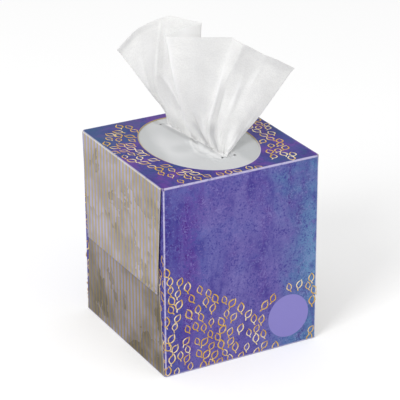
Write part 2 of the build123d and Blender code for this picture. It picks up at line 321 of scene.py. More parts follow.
class Number:
    """A socket of a node tree. Arithmetic on it adds Math nodes."""

    def __init__(self, graph, socket):
        self.graph = graph
        self.socket = socket

    def maths(self, operation, *others):
        return self.graph.node("ShaderNodeMath", {"operation": operation}, (self, *others))

    def __rsub__(self, other):
        return self.graph.node("ShaderNodeMath", {"operation": "SUBTRACT"}, (other, self))

    __add__ = __radd__ = partialmethod(maths, "ADD")
    __sub__ = partialmethod(maths, "SUBTRACT")
    __mul__ = __rmul__ = partialmethod(maths, "MULTIPLY")
    __truediv__ = partialmethod(maths, "DIVIDE")
    __neg__ = partialmethod(maths, "MULTIPLY", -1)
    __abs__ = partialmethod(maths, "ABSOLUTE")
    __gt__ = partialmethod(maths, "GREATER_THAN")
    __lt__ = partialmethod(maths, "LESS_THAN")
    at_most = partialmethod(maths, "MINIMUM")
    at_least = partialmethod(maths, "MAXIMUM")
    root = partialmethod(maths, "SQRT")
    sine = partialmethod(maths, "SINE")
    cosine = partialmethod(maths, "COSINE")
    fraction = partialmethod(maths, "FRACT")


class Graph:
    """A node tree, with one method that adds any node to it."""

    def __init__(self, tree):
        self.tree = tree
        tree.nodes.clear()

    def node(self, kind, settings=None, inputs=(), output=0):
        """Adds a node: its settings first, then the values or links of its sockets.

        A socket that takes several links is given a list of them.
        """
        made = self.tree.nodes.new(kind)
        for key, value in (settings or {}).items():
            setattr(made, key, value)
        pairs = inputs.items() if isinstance(inputs, dict) else enumerate(inputs)
        for key, value in pairs:
            socket = made.inputs[key]
            if socket.is_multi_input:
                for one in value:
                    self.tree.links.new(one.socket, socket)
            elif isinstance(value, Number):
                self.tree.links.new(value.socket, socket)
            elif socket.type == "RGBA" and len(value) == 3:
                socket.default_value = (*value, 1)
            else:
                socket.default_value = value
        return Number(self, made.outputs[output]) if made.outputs else made

    def vector(self, x, y, z):
        return self.node("ShaderNodeCombineXYZ", None, (x, y, z))


class Finish(Graph):
    """The shader of one finish, with the nodes that every finish here uses."""

    def __init__(self, name):
        self.material = bpy.data.materials.new(name)
        self.material.use_nodes = True
        super().__init__(self.material.node_tree)

    def place(self):
        """The place on the object, as a vector in millimetres."""
        here = self.node("ShaderNodeTexCoord", output="Object")
        return self.node("ShaderNodeVectorMath", {"operation": "SCALE"}, {"Vector": here, "Scale": 1000.0})

    def apart(self, vector):
        """The three numbers of a vector."""
        made = self.node("ShaderNodeSeparateXYZ", None, (vector,)).socket.node
        return [Number(self, socket) for socket in made.outputs]

    def moved(self, vector, step):
        return self.node("ShaderNodeVectorMath", {"operation": "ADD"}, (vector, step))

    def stretched(self, vector, scale):
        return self.node("ShaderNodeVectorMath", {"operation": "MULTIPLY"}, (vector, scale))

    def attribute(self, name):
        """A number that each corner of the mesh carries."""
        return self.node("ShaderNodeAttribute", {"attribute_name": name}, output="Fac")

    def clouds(self, vector, scale, detail=2.0, roughness=0.5, distortion=0.0):
        """Soft noise from 0 to 1; scale is in features for each millimetre."""
        inputs = {"Vector": vector, "Scale": scale, "Detail": detail, "Roughness": roughness,
                  "Distortion": distortion}
        return self.node("ShaderNodeTexNoise", None, inputs)

    def rise(self, value, low, high):
        """0 where value is under low, 1 over high, smooth between."""
        settings = {"interpolation_type": "SMOOTHSTEP"}
        return self.node("ShaderNodeMapRange", settings, {"Value": value, "From Min": low, "From Max": high})

    def fall(self, value, low, high):
        """1 where value is under low, 0 over high, smooth between."""
        return 1 - self.rise(value, low, high)

    def within(self, value, start, top, drop, end):
        """1 between top and drop, 0 before start and past end, smooth between."""
        return self.rise(value, start, top) * self.fall(value, drop, end)

    def mix(self, share, one, other, blend="MIX"):
        """A colour between two, or one laid over the other in another way."""
        settings = {"data_type": "RGBA", "blend_type": blend}
        return self.node("ShaderNodeMix", settings, {0: share, 6: one, 7: other}, output=2)

    def layered(self, ground, *layers):
        """A ground with other colours laid over it in order, each as (share, colour)."""
        for share, shade in layers:
            ground = self.mix(share, ground, shade)
        return ground

    def bump(self, height, distance, strength):
        inputs = {"Height": height, "Distance": distance, "Strength": strength}
        return self.node("ShaderNodeBump", None, inputs)

    def surface(self, inputs):
        return self.node("ShaderNodeBsdfPrincipled", None, inputs)

    def done(self, shader):
        self.node("ShaderNodeOutputMaterial", None, {"Surface": shader})
        return self.material


def span(across, along):
    """How far a place is from another that lies so far across and so far along."""
    return (across * across + along * along).root()


# Sizes and colours that a user can change

class CartonLooks(bpy.types.PropertyGroup):
    """Inks and board of the carton."""

    violet: ink("Violet", "Main ink of the wash", "6A62A5")
    purple: ink("Purple", "Warmer ink of the wash", "573692")
    blue: ink("Blue", "Cooler ink of the wash", "5060A6")
    navy: ink("Navy", "Darkest ink of the wash", "3A3488")
    teal: ink("Teal", "Ink at the right of the front and in patches on the top", "5580A8")
    # the fold ink stands for cracked print and a painted highlight along the folds
    wear_and_highlight: ink("Worn fold", "Ink that is cracked and rubbed at the folds", "CBC5E0")
    lavender: ink("Lavender", "Ground of the side flaps", "A8A6C3")
    stripe: ink("Stripe", "Gold stripes of the side flaps", "B19D58")
    blot: ink("Blot", "Grey-brown blots over the side flaps", "827D7D")
    label: ink("Label", "Round bare label on the front", "8B84C6")
    board: ink("Board", "Raw board inside and at the cut edges", "CFC8B8")
    stripe_pitch: length("Stripe pitch", "From one stripe of the side flaps to the next", 4.45)
    label_radius: length("Label radius", "Radius of the round label", 14.6)
    label_x: length("Label place", "From the front's middle to the label's", 33.6)
    label_z: length("Label height", "From the base to the label's middle", 21.0)


class GoldLooks(bpy.types.PropertyGroup):
    """Gold leaves of the print."""

    ochre: ink("Ochre", "Darker gold", "D6A838")
    cream: ink("Cream", "Paler gold", "FAEAC6")
    leaf_length: length("Leaf length", "From a leaf's stalk to its tip", 6.4)
    leaf_width: length("Leaf width", "Across a leaf at its widest", 4.0)
    line_width: length("Line width", "Width of the drawn line", 0.9)
    spacing: length("Spacing", "Least distance between two leaves", 5.6)
    seed: IntProperty(name="Seed", description="Changes where the leaves fall", default=7, min=0)


class FilmLooks(bpy.types.PropertyGroup):
    """Film window under the mouth."""

    haze: ink("Haze", "Colour of the hazy film", "DADBDC")
    thickness: length("Thickness", "Thickness of the film", 0.06)
    lip: length("Lip", "How far the film's bank along the slit stands up", 0.9)
    crumple: length("Crumple", "Height of the crumples along the slit", 0.7)


class TissueLooks(bpy.types.PropertyGroup):
    """First tissue and the pile under it."""

    white: ink("White", "Colour of the tissue", "FBFBFA")
    thickness: length("Thickness", "Two plies together", 0.22)
    pleat: length("Pleat", "Depth of the small pleats at the slit", 0.62)
    wave: length("Wave", "Depth of the soft waves in the fan", 0.8)
    crease: length("Crease", "Depth of the sharp creases", 0.35)


class StageLooks(bpy.types.PropertyGroup):
    """Floor, light and camera."""

    floor: ink("Floor", "Colour of the floor", "E6E6E6")
    sky: FloatProperty(name="Sky", description="Strength of the light from all round", default=0.72, min=0)
    key: power("Key", "Power of the large lamp", 20.0)
    fill: power("Fill", "Power of the second lamp", 5.0)
    azimuth: angle("Azimuth", "Camera's turn", -28.626)
    elevation: angle("Elevation", "Camera's height", 23.679)
    roll: angle("Roll", "Camera's roll", -0.305)
    distance: length("Distance", "From the camera to its target", 1205.24)
    focal: FloatProperty(
        name="Focal length", description="Of the lens", default=171.82, subtype="DISTANCE_CAMERA"
    )


class TissueBox(bpy.types.PropertyGroup):
    """Everything about the box that a user can change."""

    carton: PointerProperty(type=CartonLooks)
    gold: PointerProperty(type=GoldLooks)
    film: PointerProperty(type=FilmLooks)
    tissue: PointerProperty(type=TissueLooks)
    stage: PointerProperty(type=StageLooks)


# Helpers for pieces

def put(name, data):
    """Shows a mesh, a lamp or a camera in the scene."""
    shown = bpy.data.objects.new(name, data)
    bpy.context.scene.collection.objects.link(shown)
    return shown


def finished_mesh(shape, name):
    """Turns edited geometry into a mesh and frees it."""
    mesh = bpy.data.meshes.new(name)
    shape.to_mesh(mesh)
    shape.free()
    return mesh


def evaluated_mesh(carrier):
    """What an object's modifiers make, as a plain mesh."""
    evaluated = carrier.evaluated_get(bpy.context.evaluated_depsgraph_get())
    return bpy.data.meshes.new_from_object(evaluated)


def add_wall(piece, thickness):
    """Gives a thin piece its thickness, half of it on each side."""
    wall = piece.modifiers.new("wall", "SOLIDIFY")
    wall.thickness = thickness
    wall.offset = 0


def add_piece(name, mesh, material, node=None):
    """Shows a mesh in the shared frame as a piece that rides on the box."""
    piece = put(name, mesh)
    mesh.materials.clear()
    mesh.materials.append(material)
    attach(piece, "root")
    if node:
        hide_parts(node)
    return piece


def dress(node, material):
    """Gives a CAD node its finish."""
    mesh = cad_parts[node].data
    mesh.materials.clear()
    mesh.materials.append(material)


def grow(mesh, tree, values):
    """Runs a tree of geometry nodes on a mesh and returns what it makes as a plain mesh."""
    carrier = put("gold_area", mesh)
    modifier = carrier.modifiers.new("gold_leaves", "NODES")
    modifier.node_group = tree
    sockets = {item.name: item.identifier for item in tree.interface.items_tree if item.in_out == "INPUT"}
    for key, value in values.items():
        modifier[sockets[key]] = value
    grown = evaluated_mesh(carrier)
    bpy.data.objects.remove(carrier)
    return grown


def smooth_run(places, counts, sharp=()):
    """Places along a smooth curve through the given ones, with counts[i] steps in the span i.

    At a place that is named in sharp the curve turns in a corner, as far as its share there says.
    """
    corners = dict(sharp)
    before = [places[0]] + list(places[:-1])
    after = list(places[1:]) + [places[-1]]
    slopes = [(right - left) / 2 for left, right in zip(before, after)]
    run = []
    for start, count in enumerate(counts):
        end = start + 1
        chord = places[end] - places[start]
        leave = slopes[start].lerp(chord, corners.get(start, 0))
        arrive = slopes[end].lerp(chord, corners.get(end, 0))
        for step in range(count):
            t = step / count
            ease = t * t * (3 - 2 * t)
            from_start = places[start] * (1 - ease) + leave * (t * (1 - t) ** 2)
            from_end = places[end] * ease - arrive * (t * t * (1 - t))
            run.append(from_start + from_end)
    return run + [places[-1]]


def between(pairs, value):
    """The value of a line through (place, value) pairs."""
    for (left, low), (right, high) in zip(pairs, pairs[1:]):
        if value <= right:
            return low + (high - low) * (value - left) / (right - left)
    return pairs[-1][1]


def near_line(points, x, y):
    """The distance from a place to a broken line, and how far along the line it is, from 0 to 1."""
    best, where = math.inf, 0
    for number, ((x0, y0), (x1, y1)) in enumerate(zip(points, points[1:])):
        run_x, run_y = x1 - x0, y1 - y0
        share = ((x - x0) * run_x + (y - y0) * run_y) / (run_x * run_x + run_y * run_y)
        share = min(max(share, 0), 1)
        distance = math.hypot(x - x0 - share * run_x, y - y0 - share * run_y)
        if distance < best:
            best, where = distance, (number + share) / (len(points) - 1)
    return best, where


def on_slit(share, across):
    """A place in the slit: share of its length from the back, and millimetres to its left."""
    along = SLIT_LENGTH * (0.5 - share)
    x = SLIT_SHIFT[0] - along * math.sin(SLIT_TURN) - across * math.cos(SLIT_TURN)
    y = SLIT_SHIFT[1] + along * math.cos(SLIT_TURN) - across * math.sin(SLIT_TURN)
    return x, y


def slit_offset(x, y):
    """The share of the slit's length and the distance across it at a place on the film."""
    east = x - SLIT_SHIFT[0]
    north = y - SLIT_SHIFT[1]
    along = north * math.cos(SLIT_TURN) - east * math.sin(SLIT_TURN)
    across = -(east * math.cos(SLIT_TURN) + north * math.sin(SLIT_TURN))
    return 0.5 - along / SLIT_LENGTH, across


# The carton's finish

def watercolour(f, looks, place, grain, mottle, on_top):
    """The wash: violet with purple, blue, navy and teal run into it, under a sponged grain."""
    x, y, z = f.apart(place)
    on_side = 1 - on_top
    shifted = f.moved(place, (310, 40, 90))
    speck = f.clouds(shifted, 0.85, 3.0, 0.75)
    sponge = grain - 0.5 + (speck - 0.5) * 1.3
    dabs = f.clouds(shifted, 0.17, 4.0, 0.75) - 0.5
    streak = f.clouds(f.stretched(shifted, (1.0, 1.0, 0.3)), 0.058, 3.0, 0.55, 0.3)
    patch = f.clouds(shifted, 0.034, 3.0, 0.55, 0.6)
    pool = f.clouds(f.stretched(shifted, (1.0, 1.0, 0.0)), 0.05, 3.0, 0.6, 0.5) + sponge * 0.10

    plain = f.within(x, -34.0, -20.0, 24.0, 36.0) * on_side
    blue = f.rise(patch + sponge * 0.12, 0.46, 0.62) * (0.55 - plain * 0.3)
    veins = f.rise(streak + (sponge + dabs) * 0.75, 0.47, 0.60)
    teal = f.rise(x + (patch - 0.5) * 60 + sponge * 16, 16.0, 58.0) * on_side
    bloom = f.rise(x + (mottle - 0.5) * 50 - abs(z - 55) * 0.3, 30.0, 56.0) * on_side
    strip = f.rise((mottle - 0.5) * 30 + (sponge + dabs) * 36 - x - 38, 0.0, 16.0) * on_side
    flecks = f.rise(-sponge, -0.03, 0.12) * (veins * (1 - plain * 0.4) + strip).at_most(1) * on_side
    clumps = f.rise(mottle + dabs * 0.6 + sponge * 0.35, 0.54, 0.70)
    wash = f.layered(
        looks.violet,
        (blue, looks.blue),
        (veins * (0.75 - plain * 0.45), looks.purple),
        (teal * 0.85, looks.teal),
        (bloom * 0.5, BLOOM_BLUE),
        (strip * 0.7, STRIP_NAVY),
        (flecks * 0.85, FLECK_PURPLE),
        (clumps * 0.7, looks.navy),
        (f.rise(sponge + dabs, 0.02, 0.26) * 0.34, PALE_GRAIN),
        (f.rise(-(sponge + dabs), 0.02, 0.28) * 0.75, looks.navy),
    )
    teal_top = f.rise(y - x + (patch - 0.5) * 160 + sponge * 20, 40.0, 110.0) * on_top
    return f.layered(
        f.mix(on_top, wash, TOP_TINT, "MULTIPLY"),
        (f.rise(pool, 0.50, 0.60) * on_top * 0.75, TOP_PURPLE),
        (f.fall(pool, 0.38, 0.47) * on_top * 0.7, TOP_NAVY),
        (teal_top * 0.7, TOP_TEAL),
    )


def round_label(f, looks, place):
    """1 on the bare round label of the front, 0 elsewhere."""
    x, y, z = f.apart(place)
    from_middle = span(x - looks.label_x / MM, z - looks.label_z / MM)
    radius = looks.label_radius / MM
    return f.fall(from_middle, radius - 0.15, radius + 0.15) * (y < -HALF_DEPTH + 0.2)


def striped_flaps(f, looks, place):
    """Gold stripes on lavender under grey clouds, some with a dark ragged rim, and painted shade on the
    lower flap.
    """
    x, y, z = f.apart(place)
    stripe = f.rise((y * (2 * math.pi * MM / looks.stripe_pitch)).cosine(), 0.05, 0.5)
    upper = f.rise(abs(x), HALF_WIDTH - 0.45, HALF_WIDTH - 0.15)
    own = f.vector(0.0, y, z + upper * 170)
    soak = f.clouds(own, 0.016, 5.0, 0.62, 0.25)
    steps = (soak * 5.5 + 0.2).fraction()
    where = f.rise(f.clouds(own, 0.022, 2.0, 0.5), 0.40, 0.55)
    haze = f.clouds(own, 0.035, 3.0, 0.55)
    blot = (1 - steps) * (1 - steps) * where * 0.6 + f.rise(haze, 0.38, 0.62) * 0.55
    ground = f.mix(blot, looks.lavender, looks.blot)
    flap = f.mix(stripe * 0.9, ground, f.mix(blot * 0.35, looks.stripe, looks.blot))

    # the lower flap has darker print and painted shade from the upper one, most of all toward the front, and
    # a painted shadow under the upper flap's edge
    toward_front = f.fall(y, -5.0, 35.0)
    low = f.mix(blot * 0.4 + 0.5 + toward_front * 0.14, flap, LOW_FLAP_INK_AND_SHADE, "MULTIPLY")
    shadow = f.rise(z, FLAP_EDGE - 3.5, FLAP_EDGE + 0.5)
    low = f.mix(shadow * (0.35 + toward_front * 0.35), low, FLAP_SHADOW)
    return f.mix(upper, low, flap)


def fold_wear_and_highlight(f, place, side, past_y, past_z):
    """1 along the middle of each fold, where the print is cracked and a highlight is painted, soft at its
    sides and with nicks.
    """
    flap_fold = (side - (HALF_WIDTH - FOLD_RADIUS)).at_most(past_z)
    dust_fold = (side - (HALF_WIDTH - 2.0)).at_most(past_y)
    wear_and_highlight = f.rise(past_y.at_most(past_z), -0.45, 0.15)
    wear_and_highlight = wear_and_highlight.at_least(f.rise(flap_fold, -0.4, 0.2) * 0.7)
    wear_and_highlight = wear_and_highlight.at_least(f.rise(dust_fold, -0.2, 0.4))
    nick = f.clouds(place, 0.3, 3.0, 0.7)
    return wear_and_highlight * (0.55 + 0.45 * f.rise(nick, 0.3, 0.5))


def printed_board(looks):
    """Watercolour wash on the wrapped panels, striped side flaps, raw board inside, and folds with cracked
    print and a painted highlight.
    """
    f = Finish("printed_board")
    place = f.place()
    x, y, z = f.apart(place)
    side = abs(x)
    on_top = f.rise(z, HEIGHT - 0.6, HEIGHT - 0.1)
    grain = f.clouds(place, 0.42, 4.0, 0.8)
    mottle = f.clouds(f.stretched(place, (1.0, 1.0, 0.6)), 0.085, 3.0, 0.6, 0.3)
    wash = watercolour(f, looks, place, grain, mottle, on_top)
    wash = f.mix(round_label(f, looks, place), wash, looks.label)

    # how far a place is outside the folded strip of front, top, back and bottom panels
    past_y = abs(y) - (HALF_DEPTH - FOLD_RADIUS)
    past_z = abs(z - HEIGHT / 2) - (HEIGHT / 2 - FOLD_RADIUS)
    corner = span(past_y.at_least(0), past_z.at_least(0))
    wrapped = corner + past_y.at_least(past_z).at_most(0) - FOLD_RADIUS > -BOARD / 2

    # what faces outward at the sides is flap or fold; inner faces, cut edges and the mouth's rim are raw
    facing_x = f.apart(f.node("ShaderNodeTexCoord", output="Normal"))[0]
    outward = (facing_x * x > side * 0.3) * (side > HALF_WIDTH - 1.6) * (1 - wrapped)
    flap = f.mix(f.rise(side, HALF_WIDTH - 1.0, HALF_WIDTH - 0.9), wash, striped_flaps(f, looks, place))
    fibres = f.clouds(f.stretched(place, (1.0, 1.0, 0.5)), 0.6, 4.0, 0.7)
    raw = f.mix(f.rise(fibres, 0.35, 0.65) * 0.25, looks.board, BOARD_FIBRE)
    printed = (outward + wrapped).at_most(1)
    # cracked print and a painted highlight along each fold
    rubbed_and_highlit = fold_wear_and_highlight(f, place, side, past_y, past_z) * printed
    wear_and_highlight = f.mix(f.rise(side, HALF_WIDTH - 0.9, HALF_WIDTH - 0.3), looks.wear_and_highlight, FLAP_FOLD_WEAR_AND_HIGHLIGHT)

    # the mouth's cut edge shows a pale rim on the print toward the front, partly cut fibre and partly
    # painted highlight, and ochre toward the back
    mouth_share = span(x / MOUTH_HALF_WIDTH, y / MOUTH_HALF_LENGTH)
    rim = f.fall(mouth_share, 1.006, 1.016) * on_top
    rim_fibre_and_highlight = f.mix(f.rise(y, -30.0, -10.0), RIM_FIBRE_AND_HIGHLIGHT, RIM_OCHRE)
    shade = f.layered(raw, (outward, flap), (wrapped, wash), (rubbed_and_highlit * 0.75, wear_and_highlight), (rim, rim_fibre_and_highlight))

    roughness = 0.42 + (grain - 0.5) * 0.2 + rubbed_and_highlit * 0.25 + (1 - printed) * 0.4
    relief = f.bump(f.clouds(place, 1.6, 3.0, 0.6) + mottle * 2.0, 0.00006, 0.5)
    inputs = {"Base Color": shade, "Roughness": roughness, "Normal": relief, "Specular IOR Level": 0.07}
    return f.done(f.surface(inputs))


def gold_ink(looks):
    """Metallic ink that runs from ochre to cream along the strokes."""
    f = Finish("gold_ink")
    place = f.place()
    run = f.clouds(place, 0.055, 3.0, 0.6, 0.5)
    stroke = f.clouds(place, 0.33, 2.0, 0.5)
    pale = f.rise(run * 0.6 + stroke * 0.4, 0.45, 0.63)
    thin = f.fall(f.clouds(place, 1.1, 2.0, 0.5), 0.3, 0.5)
    shade = f.layered(looks.ochre, (pale, looks.cream), (thin * 0.25, THIN_GOLD))
    inputs = {"Base Color": shade, "Roughness": 0.45 + stroke * 0.15, "Specular IOR Level": 0.2}
    return f.done(f.surface(inputs))


# Gold leaves, grown over areas of the print

def panel_area(corners):
    """A flat patch of the print as triangles."""
    shape = bmesh.new()
    rim = [shape.verts.new(Vector(corner) * MM) for corner in corners]
    shape.faces.new(rim)
    bmesh.ops.triangulate(shape, faces=shape.faces)
    return finished_mesh(shape, "area")


def ring_area(start, end):
    """Corners of a part of the print round the mouth, from one angle to the other."""
    inner = [(step, RING_EDGES[0], 0.0) for step in range(RING_STEPS + 1)]
    outer = [(step, RING_EDGES[1], 0.10) for step in range(RING_STEPS, -1, -1)]
    corners = []
    for step, edge, ripple in inner + outer:
        turn = math.radians(start + (end - start) * step / RING_STEPS)
        spread = edge + ripple * math.sin(turn * 5)
        x = MOUTH_HALF_WIDTH * spread * math.cos(turn)
        y = MOUTH_HALF_LENGTH * spread * math.sin(turn)
        inside = [min(max(number, -RING_LIMIT), RING_LIMIT) for number in (x, y)]
        corners.append((*inside, HEIGHT))
    return corners


def drawn_leaf(g, half, full, line_width):
    """One leaf: two strokes from the stalk to the tip, one ending short of it, and the stalk."""
    strokes = []
    for side, reach, bulge in ((1, 1.0, 0.98), (-1, 0.88, 1.0), (0.3, -0.26, 0.1)):
        ends = {
            "Resolution": 6,
            "Start": g.vector(0.0, full * -0.5, 0.0),
            "Middle": g.vector(half * (bulge * side), full * (0.42 * reach - 0.5), 0.0),
            "End": g.vector(half * ((1 - reach) * 0.5 * side), full * (reach - 0.5), 0.0),
        }
        strokes.append(g.node("GeometryNodeCurveQuadraticBezier", None, ends))
    drawn = g.node("GeometryNodeJoinGeometry", None, {"Geometry": strokes})
    swell = (g.node("GeometryNodeSplineParameter") * math.pi).sine() * 0.45 + 0.6
    ring = g.node("GeometryNodeCurvePrimitiveCircle", None, {"Resolution": 4, "Radius": line_width / 2})
    tube = {"Curve": drawn, "Profile Curve": ring, "Scale": swell, "Fill Caps": True}
    tube = g.node("GeometryNodeCurveToMesh", None, tube)
    return g.node("GeometryNodeTransform", None, {"Geometry": tube, "Scale": (1, 1, LEAF_FLATNESS)})


def leaf_tree(material):
    """Geometry nodes that strew drawn leaves over a patch, all growing about one way."""
    tree = bpy.data.node_groups.new("gold_leaves", "GeometryNodeTree")
    g = Graph(tree)
    numbers = ["Spacing", "Leaf length", "Leaf width", "Line width", "Spread", "Bare radius"]
    sockets = [("Geometry", "Geometry")] + [(name, "Float") for name in numbers]
    sockets += [("Bare middle", "Vector"), ("Growth", "Vector"), ("Seed", "Int")]
    for name, kind in sockets:
        tree.interface.new_socket(name, in_out="INPUT", socket_type="NodeSocket" + kind)
    tree.interface.new_socket("Geometry", in_out="OUTPUT", socket_type="NodeSocketGeometry")
    given = g.node("NodeGroupInput").socket.node
    have = {socket.name: Number(g, socket) for socket in given.outputs}

    patch = {"Mesh": have["Geometry"], "Distance Min": have["Spacing"], "Density Max": MOST_LEAVES,
             "Seed": have["Seed"]}
    dots = g.node("GeometryNodeDistributePointsOnFaces", {"distribute_method": "POISSON"}, patch)
    normal = Number(g, dots.socket.node.outputs["Normal"])
    turned = g.node("FunctionNodeAlignRotationToVector", {"axis": "Z"}, {"Vector": normal})
    turned = g.node("FunctionNodeAlignRotationToVector", {"axis": "Y", "pivot_axis": "Z"},
                    {"Rotation": turned, "Vector": have["Growth"]})
    lean = g.node("FunctionNodeRandomValue", {"data_type": "FLOAT"},
                  {"Min": have["Spread"] * -1, "Max": have["Spread"], "Seed": have["Seed"]}, output=1)
    turned = g.node("FunctionNodeRotateRotation", {"rotation_space": "LOCAL"},
                    {"Rotation": turned, "Rotate By": g.vector(0.0, 0.0, lean)})
    size = g.node("FunctionNodeRandomValue", {"data_type": "FLOAT"},
                  {"Min": LEAF_SIZES[0], "Max": LEAF_SIZES[1], "Seed": 3}, output=1)
    here = g.node("GeometryNodeInputPosition")
    away = g.node("ShaderNodeVectorMath", {"operation": "DISTANCE"}, (here, have["Bare middle"]), "Value")
    leaf = drawn_leaf(g, have["Leaf width"], have["Leaf length"], have["Line width"])
    strewn = {"Points": dots, "Selection": away > have["Bare radius"], "Instance": leaf,
              "Rotation": turned, "Scale": size}
    strewn = g.node("GeometryNodeInstanceOnPoints", None, strewn)
    real = g.node("GeometryNodeRealizeInstances", None, {"Geometry": strewn})
    inked = g.node("GeometryNodeSetMaterial", None, {"Geometry": real, "Material": material})
    g.node("NodeGroupOutput", None, {"Geometry": inked})
    return tree


# Film

def film_folds(x, y):
    """The height of each crumple near a place, and how near the place is to it, up to 1."""
    for points, height, width in FILM_FOLDS:
        distance, where = near_line(points, x, y)
        if distance < 4 * width:
            ends = ramp_up(0, 0.15, where) * (1 - 0.8 * ramp_up(0.6, 1, where))
            yield height, math.exp(-distance / width) * (0.3 + 0.7 * ends)


def crumple_at(share, across):
    """The crumpled patch beside the slit, up to 1 on its ridges."""
    patch = bell(across - 5.5, 5.0) * hump(0.35, 0.6, 0.97, 1.10, share)
    return patch * (1 - 2 * abs(waver(share * 16, across / 2.25, 1.4)))


def bank_whitening_and_highlight(share, across):
    """The bank on the viewer's side of the slit, whitened with painted highlight, up to 1."""
    reach = between(BANK_REACH, share) + 1.5 * waver(share * 14, 2.2, 0)
    cloud = 0.5 + 0.6 * waver(share * 16, across / 4, 5.0)
    return hump(0.46, 0.54, 0.97, 1.02, share) * hump(-1, 2, reach * 0.75, reach + 0.1, across) * cloud


def film_height(x, y, looks):
    """How far the film stands over its flat level at a place, in millimetres."""
    share, across = slit_offset(x, y)
    reach = math.hypot(x / MOUTH_HALF_WIDTH, y / MOUTH_HALF_LENGTH)
    free = 1 - ramp_up(0.80, 0.985, reach)
    along = 1 - ramp_up(0.46, 0.60, abs(share - 0.5))
    tent = math.exp(-abs(across) / 14.0)
    dip = -0.4 * bell(across, 2.4)
    bank = hump(0.35, 0.6, 0.84, 0.96, share) if across > 0 else 0.3
    lip = dip + looks.lip / MM * bank * bell(abs(across) - 4.6, 2.2)
    lip *= 0.85 + 0.5 * waver(share * 9, across * 0.1, 0)
    folds = sum(height * near for height, near in film_folds(x, y))
    crumple = looks.crumple / MM * crumple_at(share, across)
    sway = 0.3 * waver(x / 20, y / 24, 3.1) + 0.12 * waver(x / 8, y / 15, 9.4)
    return free * (sway + (tent + lip) * along + folds + crumple)


def film_whitening_and_highlight(x, y):
    """How far the film is whitened and given a painted highlight at a place, up to about 2."""
    share, across = slit_offset(x, y)
    ridges = 0.9 * ramp_up(0.3, 1.0, crumple_at(share, across))
    folded = sum(near * height / 0.7 for height, near in film_folds(x, y) if height > 0)
    return ridges + folded + bank_whitening_and_highlight(share, across)


def film_sheet(looks):
    """The film as two halves that meet beyond the slit's ends, with the slit between them."""
    shape = bmesh.new()
    stress = shape.verts.layers.float.new("stress")
    for side in (-1, 1):
        grid = []
        for row in range(FILM_ROWS + 1):
            y = -FILM_HALF_LENGTH + 2 * FILM_HALF_LENGTH * row / FILM_ROWS
            start = SLIT_SHIFT[0] - (y - SLIT_SHIFT[1]) * math.tan(SLIT_TURN)
            share, _ = slit_offset(start, y)
            if side > 0 and 0 <= share <= 1:
                start += SLIT_OPENING * SLIT_WIDTH * between(SLIT_LENS, share)
            line = []
            for column in range(FILM_COLUMNS + 1):
                spread = (column / FILM_COLUMNS) ** FILM_CROWDING
                x = start + (side * FILM_HALF_WIDTH - start) * spread
                z = (FILM_TOP + FILM_BOTTOM) / 2 + film_height(x, y, looks)
                vert = shape.verts.new((x * MM, y * MM, z * MM))
                # whitening with painted highlight on the crumples and the bank
                vert[stress] = film_whitening_and_highlight(x, y)
                line.append(vert)
            grid.append(line)
        for lower, upper in zip(grid, grid[1:]):
            for left in range(FILM_COLUMNS):
                corners = [lower[left], lower[left + 1], upper[left + 1], upper[left]]
                shape.faces.new(corners[::side])
    bmesh.ops.remove_doubles(shape, verts=shape.verts, dist=WELD)
    for part in shape.faces:
        part.smooth = True
    return finished_mesh(shape, "film_sheet")


def hazy_film(looks):
    """Thin hazy plastic, clearer away from a hazy patch at the left, with painted shade beside the slit, to
    its right and at its left end, whitened with painted highlight where it is crumpled, and with painted
    light at the tissue's foot.
    """
    f = Finish("hazy_film")
    place = f.place()
    x, y, _ = f.apart(place)
    smear = f.clouds(f.stretched(place, (1.0, 0.35, 1.0)), 0.08, 3.0, 0.5)
    drift = smear - 0.5
    from_slit = (x - SLIT_SHIFT[0]) * math.cos(SLIT_TURN) + (y - SLIT_SHIFT[1]) * math.sin(SLIT_TURN)
    slide = from_slit + drift * 10
    from_haze = span(x - HAZE_MIDDLE[0], (y - HAZE_MIDDLE[1]) * 0.6) + drift * 8
    # painted shade to the right of the slit, where the tissue's shadow falls, and darker toward the film's
    # left end
    far = f.rise(slide, 4.0, 12.0).at_least(f.rise(y * 0.35 - slide, 23.0, 32.0) * 0.95)
    # a patch of painted shade to the left of the crumples
    from_shade_patch = span(x - SHADE_PATCH_MIDDLE[0], y - SHADE_PATCH_MIDDLE[1]) + drift * 6
    # whitening with painted highlight on the crumples and the bank, from each corner
    stress = f.attribute("stress")
    # painted shade in a band along the trough beside the slit
    band = f.fall(abs(from_slit + drift * 4 + 4.2), 0.8, 3.0) * f.rise(y, -26.0, -16.0)
    # painted light on the film at the tissue's foot, where shade falls
    foot = f.fall(abs(from_slit + 1.3), 0.8, 2.2) * f.within(y, -31.0, -27.0, 33.0, 38.0)
    shade = f.layered(
        looks.haze,
        (f.rise(from_haze, 5.0, 17.0) * 0.45, CLEAR_AND_SHADED_FILM),
        (far, CLEAR_AND_SHADED_FILM),
        (f.fall(from_shade_patch, 2.0, 10.0) * 0.5, CLEAR_AND_SHADED_FILM),
        (f.rise(stress, 0.2, 1.3) * 0.6, WHITENED_AND_HIGHLIT_FILM),
        (band * 0.55, SHADED_FILM),
        (foot * 0.75, FILM_PAINTED_LIGHT_AT_SLIT),
    )
    draw = f.clouds(f.stretched(place, (1.0, 0.12, 1.0)), 0.5, 3.0, 0.6)
    inputs = {"Base Color": shade, "Roughness": 0.34 + smear * 0.15, "Normal": f.bump(draw, 0.00015, 0.35),
              "Alpha": 0.93}
    return f.done(f.surface(inputs))


# Tissue

